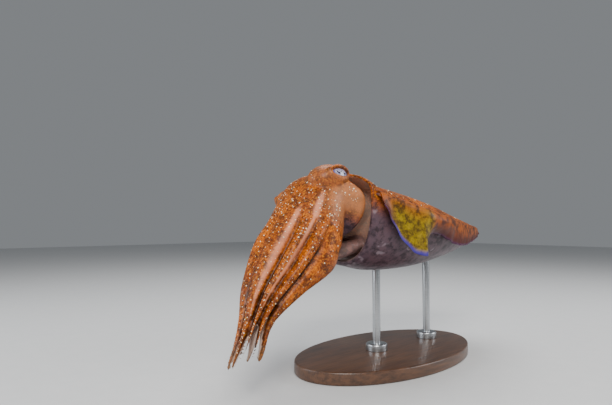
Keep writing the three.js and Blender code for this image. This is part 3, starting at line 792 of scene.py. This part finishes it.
def fin_sheet(table, seed):
    """The middle sheet of a left fin, out from inside the mantle's side and down with the wave."""
    rows = []
    fin_line = np.zeros(1)
    steps = FIN_ACROSS - 2
    for i in range(FIN_RINGS + 1):
        along = i / FIN_RINGS
        at = FIN_FRONT + (FIN_BACK - FIN_FRONT) * along
        root = mantle_ring(at, fin_line)[0]
        ahead = mantle_ring(min(1, at + 0.01), fin_line)[0] - mantle_ring(at - 0.01, fin_line)[0]
        ahead = np.array((ahead[0], ahead[1] * FIN_LINE_TURN, 0))
        ahead /= np.linalg.norm(ahead)
        outward = np.array((ahead[1], -ahead[0], 0))
        slope, snap = math.radians(read(table, "slope", along)), read(table, "snap", along)
        stride = read(table, "width", along) / steps
        point = root + outward * FIN_ROOT_OUT
        row = [root - outward * FIN_ROOT_DEPTH, point]
        for j in range(1, steps + 1):
            v = j / steps
            bend = slope * float(soft((v - FIN_HINGE) / snap))
            point = point + outward * stride * math.cos(bend) - np.array((0, 0, stride * math.sin(bend)))
            ripple = sum(
                height * v**growth * math.sin(along * turns_along + seed * (k + 1))
                for k, (height, growth, turns_along) in enumerate(FIN_RIPPLES)
            )
            row.append(point + np.array((0.3 * ripple, 0, 0)) + outward * ripple * math.sin(bend) * 0.7)
        rows.append(row)
    return np.array(rows)


def fin_shell(table, seed, mirror):
    """A fin as one closed skin: upper face, margin and under face, each point with its masks."""
    sheet = fin_sheet(table, seed)
    normal = np.cross(np.gradient(sheet, axis=0), np.gradient(sheet, axis=1))
    normal /= np.linalg.norm(normal, axis=2, keepdims=True)
    v = np.linspace(0, 1, FIN_ACROSS)
    thick = FIN_ROOT_THICK - FIN_THINNING * v**0.8
    thick[-1] = FIN_MARGIN_THICK
    upper = sheet - normal * thick[None, :, None] / 2
    under = sheet + normal * thick[None, :, None] / 2
    across = np.concatenate([v, v[::-1]])
    below = np.concatenate([np.zeros(FIN_ACROSS), np.ones(FIN_ACROSS)])
    rings, masks = [], []
    for i in range(FIN_RINGS + 1):
        along = i / FIN_RINGS
        lobe = float(soft(along, 0.02, 0.08) * (1 - soft(along, 0.2, 0.24)))
        rings.append(np.concatenate([upper[i], under[i][::-1]]))
        # The fins' under faces are marked for painted shade.
        masks.append({"fin": soft(across, 0.02, 0.25), "edge": across, "lobe": lobe, "belly": 0.8 * below})
    shell = Shell()
    shell.add(rings, masks, BODY_BANK, mirror)
    return shell


shells = [fin_shell(LEFT_FIN, 0.4, False), fin_shell(RIGHT_FIN, 2.1, True)]
fins = [shell.mesh("fin") for shell in shells]
bpy.ops.object.select_all(action="DESELECT")
for piece in fins + [skin]:
    piece.select_set(True)
bpy.context.view_layer.objects.active = skin
bpy.ops.object.join()
all_masks = np.concatenate([skin_masks] + [mask for shell in shells for mask in shell.masks])
for i, name in enumerate(Shell.MASKS):
    keep_numbers(skin, name, all_masks[:, i])
bpy.ops.object.shade_smooth()


# Colours of the skin. Burnt orange mottled with brown and gold over the back, pink stripes along the
# furrows, pale cheeks, cream inner sides, and an olive front fin with a violet margin. Painted shade darkens
# every underside in mottled mauve, and the creases between the arms and the rims of the upper lids in dark
# brown. Pale streaks of painted reflected light lie over the shaded belly.

BURNT_ORANGE, DEEP_ORANGE = tint(190, 94, 0), tint(142, 64, 0)
BROWN, DARK_SPECK, GOLD_SPECK = tint(82, 34, 0), tint(64, 26, 0), tint(240, 156, 24)
# The dark brown is painted shade for the creases between the arms and the rims of the upper lids.
STRIPE_PINK, CHEEK_TAN, CREASE_SHADE_BROWN = tint(236, 154, 118), tint(184, 122, 82), tint(38, 12, 2)
# Painted shade for the undersides in two mauves, and pale streaks of painted reflected light to lie on it.
BELLY_SHADE_MAUVE, BELLY_SHADE_DARK, BELLY_REFLECTION_STREAK = tint(84, 68, 80), tint(46, 36, 46), tint(166, 150, 160)
INNER_CREAM, TIP_BROWN = tint(196, 172, 158), tint(92, 70, 34)
OLIVE, OLIVE_DARK, OLIVE_SPECK = tint(146, 122, 0), tint(76, 56, 0), tint(60, 44, 4)
RUST, RUST_DARK, RUST_MARGIN = tint(160, 78, 0), tint(74, 32, 0), tint(74, 22, 10)
# The first colour is painted shade for the fins' under faces. The violet is their margin.
FIN_UNDERSIDE_SHADE, FIN_VIOLET = tint(92, 58, 60), tint(66, 52, 150)

look = Look("cuttlefish_skin", Coat_Weight=0.06, Coat_Roughness=0.25, Specular_IOR_Level=0.25)
mask = {name: look.value(name) for name in Shell.MASKS}
here = look.place()
broad = look.noise(here, 42, 4, 0.6)
mottle = look.noise(here, 150, 5, 0.65)
speck = look.noise(here, 620, 3, 0.6)
# Streaks of painted reflected light for the shaded undersides.
reflection_streak = look.noise(look.place(turn=(0, 0.9, 0)), 90, 2)

colour = look.mix(broad.step(0.35, 0.65), BURNT_ORANGE, DEEP_ORANGE)
colour = look.mix(mottle.step(0.45, 0.6) * 0.85, colour, BROWN)
colour = look.mix(speck.step(0.5, 0.62) * 0.6, colour, DARK_SPECK)
colour = look.mix(speck.step(0.46, 0.34) * 0.4, colour, GOLD_SPECK)
colour = look.mix(mask["stripe"].step(0.4, 1.0) * (0.95 - mottle * 0.5), colour, STRIPE_PINK)
colour = look.mix(mask["cheek"] * (0.85 - mottle * 0.35), colour, CHEEK_TAN)
# Painted shade in the creases between the arms and on the rims of the upper lids.
colour = look.mix(mask["crease_shade"] * 0.9, colour, CREASE_SHADE_BROWN)

# The undersides are painted in shade, mottled dark mauve, with pale streaks of painted reflected light.
belly = look.mix(mottle.step(0.42, 0.66), BELLY_SHADE_MAUVE, BELLY_SHADE_DARK)
# Pale streaks of painted reflected light over the painted shade.
belly = look.mix(reflection_streak.step(0.62, 0.72) * 0.45, belly, BELLY_REFLECTION_STREAK)
colour = look.mix(mask["belly"] * 0.95, colour, belly)
colour = look.mix(mask["inner"], colour, INNER_CREAM)
colour = look.mix(mask["tip"] * 0.55, colour, TIP_BROWN)

olive = look.mix(mottle.step(0.38, 0.62), OLIVE, OLIVE_DARK)
olive = look.mix(speck.step(0.5, 0.66) * 0.5, olive, OLIVE_SPECK)
rust = look.mix(mottle.step(0.4, 0.62), RUST, RUST_DARK)
rust = look.mix(mask["edge"].step(0.4, 0.9), rust, RUST_MARGIN)
fin_colour = look.mix(mask["edge"].step(0.15, 0.55) * mask["lobe"], rust, olive)
# Painted shade on the fins' under faces.
fin_colour = look.mix(mask["belly"] * 0.6, fin_colour, FIN_UNDERSIDE_SHADE)
colour = look.mix(mask["fin"], colour, fin_colour)
margin = mask["edge"].step(0.89, 0.98) * mask["fin"]
colour = look.mix(margin * (mask["lobe"] * 0.8 + 0.15), colour, FIN_VIOLET)
look.feed(Base_Color=colour, Roughness=0.36 + mottle * 0.22)
look.bump(mottle * 0.6 + speck * 0.4, 0.5, 0.0006)
skin.data.materials.append(look.material)

arm_parts = [f"{number}_{part}" for number in (1, 2, 3, 4) for part in ("base", "middle", "tip")]
arm_nodes = [f"arm_{side}_{part}" for side in ("left", "right") for part in arm_parts]
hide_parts("mantle", "head", "funnel", "fin_left", "fin_right", *arm_nodes)
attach(skin, "root")


# Eyes. A wet glassy ball deep under each brow: silver blue, darker at both ends of the opening, with a
# pupil in the shape of a W. The lids hold it, and only its front shows.

BALL_SEGMENTS = 64
BALL_RINGS = 40
BALL_FIT = 0.985
PUPIL_WAVE = 5.6
PUPIL_REACH = (4.9, 5.7)
PUPIL_THICK = (0.5, 0.95)
IRIS_HALF = (8.8, 3.9)
IRIS_SILVER, IRIS_VEIN, IRIS_RIM = tint(188, 182, 200), tint(106, 104, 146), tint(72, 62, 120)
IRIS_BLUE, PUPIL_DARK = tint(52, 62, 150), tint(30, 22, 56)

for side, eye in EYES.items():
    bpy.ops.object.select_all(action="DESELECT")
    bpy.ops.mesh.primitive_uv_sphere_add(segments=BALL_SEGMENTS, ring_count=BALL_RINGS, radius=1)
    eyeball = bpy.context.object
    eyeball.name = f"eyeball_{side}"
    bpy.ops.object.mode_set(mode="EDIT")
    bpy.ops.transform.resize(value=EYE_SIZE * BALL_FIT)
    bpy.ops.object.mode_set(mode="OBJECT")
    front = np.array([vertex.co for vertex in eyeball.data.vertices])
    seated = settle(front + eye["place"], HEAD_BANK).astype(np.float32)
    eyeball.data.vertices.foreach_set("co", seated.ravel())
    keep_numbers(eyeball, "across", front[:, 0] * slope_cos - front[:, 2] * slope_sin)
    keep_numbers(eyeball, "up", front[:, 2] * slope_cos + front[:, 0] * slope_sin)
    bpy.ops.object.shade_smooth()

    ball = Look(f"wet_eye_{side}", Roughness=0.08, Coat_Weight=1, Coat_Roughness=0.02, IOR=1.4)
    across, up = ball.value("across"), ball.value("up")
    wave = (across * (2 * math.pi / PUPIL_WAVE)).maths("COSINE")
    bend = (up + 0.2 - wave * 0.8).size()
    pupil = (1 - bend.step(*PUPIL_THICK)) * (1 - across.size().step(*PUPIL_REACH))
    wide, tall = across / IRIS_HALF[0], up / IRIS_HALF[1]
    span = (wide * wide + tall * tall).maths("SQRT")
    veins = ball.noise(ball.place(), 700, 4, 0.6)
    iris = ball.mix(veins.step(0.35, 0.7), IRIS_SILVER, IRIS_VEIN)
    iris = ball.mix(span.step(0.72, 1.0), iris, IRIS_RIM)
    iris = ball.mix(across.size().step(5.8, 8.2), iris, IRIS_BLUE)
    ball.feed(Base_Color=ball.mix(pupil, iris, PUPIL_DARK))
    eyeball.data.materials.append(ball.material)
    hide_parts(f"eye_{side}")
    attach(eyeball, "root")


# Suckers. Four rows of small stalked cups of pale flesh on the inner side of every arm, smaller towards its
# tip, each with a darker ring round its mouth.

CUP_SIDES = 6
# A cup's outline from its foot over its lip into its mouth, as shares of its radius, and 1 inside the
# mouth.
CUP_PROFILE = ((0.58, -0.6, 0), (1.0, 0.56, 0), (0.8, 0.86, 1), (0.36, 0.34, 1))
CUP_LANES = (-0.36, -0.12, 0.12, 0.36)
CUP_LARGEST = 1.9
CUP_SHARE = 0.105
CUP_STRIDE = 2.3
CROWN_LENGTH = 130
FIRST_CUP = 0.035
LAST_CUP = 0.97

random.seed(11)
cup_turn = np.linspace(0, 2 * math.pi, CUP_SIDES, endpoint=False)


def band_faces(start, count, bands):
    """The faces between rings of equal count that follow one another in a list of points."""
    faces = []
    for i in range(bands):
        for j in range(count):
            a, b = start + i * count + j, start + i * count + (j + 1) % count
            faces.append((a, b, b + count, a + count))
    return faces


def add_cup(points, faces, mouths, foot, outward, radius):
    """Adds one cup to lists of points and faces, with a number that marks its mouth."""
    matrix = Vector(outward).normalized().to_track_quat("Z", "Y").to_matrix()
    start = len(points)
    spin = random.random() * 6.28
    for share, lift, inside in CUP_PROFILE:
        for turn in cup_turn:
            local = Vector((math.cos(turn + spin) * share, math.sin(turn + spin) * share, lift)) * radius
            points.append(Vector(foot) + matrix @ local)
            mouths.append(inside)
    bands = len(CUP_PROFILE) - 1
    faces += band_faces(start, CUP_SIDES, bands)
    faces.append(tuple(start + bands * CUP_SIDES + j for j in range(CUP_SIDES)))
    faces.append(tuple(start + j for j in reversed(range(CUP_SIDES))))


sucker_look = Look("sucker_skin", Roughness=0.4, Coat_Weight=0.3, Coat_Roughness=0.2)
patch = sucker_look.noise(sucker_look.place(), 300, 3)
flesh_tone = sucker_look.mix(patch, tint(214, 190, 172), tint(176, 144, 134))
mouth_tone = tint(120, 84, 78)
sucker_look.feed(Base_Color=sucker_look.mix(sucker_look.value("mouth") * 0.6, flesh_tone, mouth_tone))
sucker_look.bump(patch, 0.3, 0.0002)
for side, flip in (("left", (1, 1, 1)), ("right", (1, -1, 1))):
    points, faces, mouths = [], [], []
    for arm in ARMS:
        along = FIRST_CUP
        row = 0
        while along < LAST_CUP:
            inner = arm_ring(arm, along)[OUTER:]
            middle = (inner[INNER // 2 - 1] + inner[INNER // 2]) / 2
            run = arm_ring(arm, along + 0.01)[OUTER:][INNER // 2] - inner[INNER // 2]
            forward = run / max(1e-6, np.linalg.norm(run))
            sideways = inner[0] - inner[-1]
            facing = np.cross(run, sideways)
            facing /= np.linalg.norm(facing)
            centre = cross(CROWN, arm["reach"] * along, np.zeros(1), 0.0)[0]
            if facing @ (centre - middle) < 0:
                facing = -facing
            radius = min(CUP_LARGEST, CUP_SHARE * float(np.linalg.norm(sideways)))
            for k, lane in enumerate(CUP_LANES):
                place = lane if row % 2 else -lane
                size = radius * (0.92 + 0.16 * random.random())
                foot = middle + sideways * place + facing * 0.25 * size
                foot = foot + forward * radius * (0.5 if k % 2 else -0.5)
                start, end = settle(np.array([foot, foot + facing]) * flip, HEAD_BANK)
                add_cup(points, faces, mouths, start, end - start, size / 1000)
            along += CUP_STRIDE * radius / (CROWN_LENGTH * arm["reach"])
            row += 1
    suckers = mesh_piece(f"suckers_{side}", points, faces)
    keep_numbers(suckers, "mouth", mouths)
    bpy.ops.object.shade_smooth()
    suckers.data.materials.append(sucker_look.material)
    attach(suckers, "root")


# Pale spots. Small raised warts of white skin, which stand in rows along the arms and are scattered over
# the head and the back. They grow out of the skin and keep clear of the eyes.

WART_SIDES = 10
# A wart's outline from its foot to near its top, as shares of its radius, and the height of the top itself.
WART_PROFILE = ((1.0, -0.25), (0.8, 0.16), (0.42, 0.32))
WART_TOP = 0.36
WART_LANES = {1: (-0.7, -0.25, 0.2, 0.62), 2: (-0.6, -0.15, 0.3), 3: (-0.55, 0.0, 0.5), 4: (-0.4,)}
HEAD_WARTS = 420
BACK_WARTS = 150
EYE_CLEARANCE = 0.016

random.seed(5)
skin_tree = BVHTree.FromObject(skin, bpy.context.evaluated_depsgraph_get())
wart_points, wart_faces = [], []
wart_turn = np.linspace(0, 2 * math.pi, WART_SIDES, endpoint=False)


def add_wart(target, radius):
    """Adds a low dome on the skin nearest to a point."""
    place, normal, _, _ = skin_tree.find_nearest(Vector(target))
    matrix = normal.to_track_quat("Z", "Y").to_matrix()
    start = len(wart_points)
    stretch = 0.8 + 0.4 * random.random()
    for share, lift in WART_PROFILE:
        for turn in wart_turn:
            wobble = share * (1 + 0.12 * math.sin(3 * turn + start))
            local = Vector((math.cos(turn) * wobble * stretch, math.sin(turn) * wobble, lift))
            wart_points.append(place + matrix @ (local * radius))
    wart_points.append(place + normal * radius * WART_TOP)
    bands = len(WART_PROFILE) - 1
    wart_faces.extend(band_faces(start, WART_SIDES, bands))
    last = start + bands * WART_SIDES
    for j in range(WART_SIDES):
        wart_faces.append((last + j, last + (j + 1) % WART_SIDES, last + WART_SIDES))
    wart_faces.append(tuple(start + j for j in reversed(range(WART_SIDES))))


for flip in ((1, 1, 1), (1, -1, 1)):
    for arm in ARMS:
        for lane in WART_LANES[arm["number"]]:
            along = 0.01 + 0.03 * random.random()
            while along < 0.9:
                u = min(0.98, max(-0.98, lane + 0.22 * (random.random() - 0.5)))
                point = arm_ring(arm, along)[int(round((u + 1) / 2 * (OUTER - 1)))] * flip
                size = (0.35 + 0.6 * random.random() ** 1.6) * (1 - 0.5 * along)
                if random.random() < 0.8:
                    add_wart(settle(point, HEAD_BANK)[0], size / 1000)
                along += (0.02 + 0.03 * random.random()) * (1 if arm["number"] < 3 else 1.4)
eye_places = [settle(eye["place"], HEAD_BANK)[0] for eye in EYES.values()]
for _ in range(HEAD_WARTS):
    at = 0.42 + 0.58 * random.random()
    angle = math.radians(105 * (2 * random.random() - 1))
    point = settle(cross(HEAD, at, np.array([angle])), HEAD_BANK)[0]
    if min(np.linalg.norm(point - place) for place in eye_places) > EYE_CLEARANCE:
        add_wart(point, (0.3 + 0.5 * random.random() ** 1.6) / 1000)
for _ in range(BACK_WARTS):
    at = 0.02 + 0.8 * random.random() ** 1.3
    angle = np.array([math.pi * (0.08 + 0.84 * random.random())])
    add_wart(settle(mantle_ring(at, angle), BODY_BANK)[0], (0.35 + 0.5 * random.random()) / 1000)

pale_spots = mesh_piece("pale_spots", wart_points, wart_faces)
bpy.ops.object.shade_smooth()
spot_look = Look("pale_wart", Roughness=0.5, Coat_Weight=0.2)
cloud = spot_look.noise(spot_look.place(), 400, 2)
spot_look.feed(Base_Color=spot_look.mix(cloud, tint(246, 232, 206), tint(222, 190, 150)))
spot_look.bump(cloud, 0.2, 0.0002)
pale_spots.data.materials.append(spot_look.material)
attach(pale_spots, "root")


# Lips. A ring of soft puckered flesh in the middle of the arms, pale and moist, that closes round the beak.
# It grows from the front of the head.

LIP_SIDES = 72
LIP_FOLDS = 14
# The lips' outline from their foot over their top into the mouth, as radius, height and depth of the folds.
LIP_PROFILE = (
    (9.4, -1, 0), (10, 0.6, 0.01), (10.2, 3, 0.02), (9, 6, 0.04),
    (7.4, 8, 0.06), (5.6, 8.8, 0.08), (4, 8, 0.08), (3.4, 5.5, 0.05),
)

lip_turn = np.linspace(0, 2 * math.pi, LIP_SIDES, endpoint=False)
mouth_foot = np.array((read(CROWN, "x", 0), 0, read(CROWN, "z", 0)))
mouth_way = np.array((-math.cos(ROOT_TILT), 0, -math.sin(ROOT_TILT)))
mouth_back = np.array((-math.sin(ROOT_TILT), 0, math.cos(ROOT_TILT)))


def mouth_ring(backward, leftward, lift):
    """A ring round the mouth's line, from its reach towards the back and to the left."""
    sideways = np.stack([0 * leftward, -leftward, 0 * leftward], 1)
    return mouth_foot + sideways + mouth_back * backward[:, None] + mouth_way * lift


lip_shell = Shell()
rings = []
for radius, lift, fold in LIP_PROFILE:
    size = radius * (1 + fold * np.cos(LIP_FOLDS * lip_turn))
    rings.append(mouth_ring(size * np.cos(lip_turn), size * np.sin(lip_turn), lift))
lip_shell.add(rings, [{}] * len(rings), HEAD_BANK)
lips = lip_shell.mesh("lips")
bpy.ops.object.shade_smooth()
lip_look = Look("lip_skin", Roughness=0.35, Coat_Weight=0.4, Coat_Roughness=0.15)
folds = lip_look.noise(lip_look.place(), 260, 4)
lip_look.feed(Base_Color=lip_look.mix(folds, tint(214, 184, 166), tint(166, 126, 118)))
lip_look.bump(folds, 0.4, 0.0004)
lips.data.materials.append(lip_look.material)
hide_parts("mouth")
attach(lips, "root")


# Beak. Two dark curved jaws of horn that meet inside the lips. Only their tips stand out of the flesh, the
# lower one a little longer than the upper.

BEAK_JAWS = ((1, 3.0), (-1, 3.6))
# A jaw's outline from its root to its tip, as height and half width.
BEAK_PROFILE = ((4.5, 2.9), (6.4, 2.6), (7.8, 1.7), (8.9, 0.5))
BEAK_ROOT = 4.5

beak_shell = Shell()
for sign, tall in BEAK_JAWS:
    rings = []
    for lift, size in BEAK_PROFILE:
        hook = sign * (tall - 1.3 * (lift - BEAK_ROOT) / 3)
        backward = 0.55 * size * np.cos(lip_turn) + 0.36 * hook
        rings.append(mouth_ring(backward, size * np.sin(lip_turn), lift))
    beak_shell.add(rings, [{}] * len(rings), HEAD_BANK)
beak = beak_shell.mesh("beak")
bpy.ops.object.shade_smooth()
horn = Look("beak_horn", Roughness=0.25, Coat_Weight=0.4)
shade = horn.noise(horn.place(), 500, 3)
horn.feed(Base_Color=horn.mix(shade, tint(52, 30, 20), tint(24, 14, 12)))
beak.data.materials.append(horn.material)
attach(beak, "root")
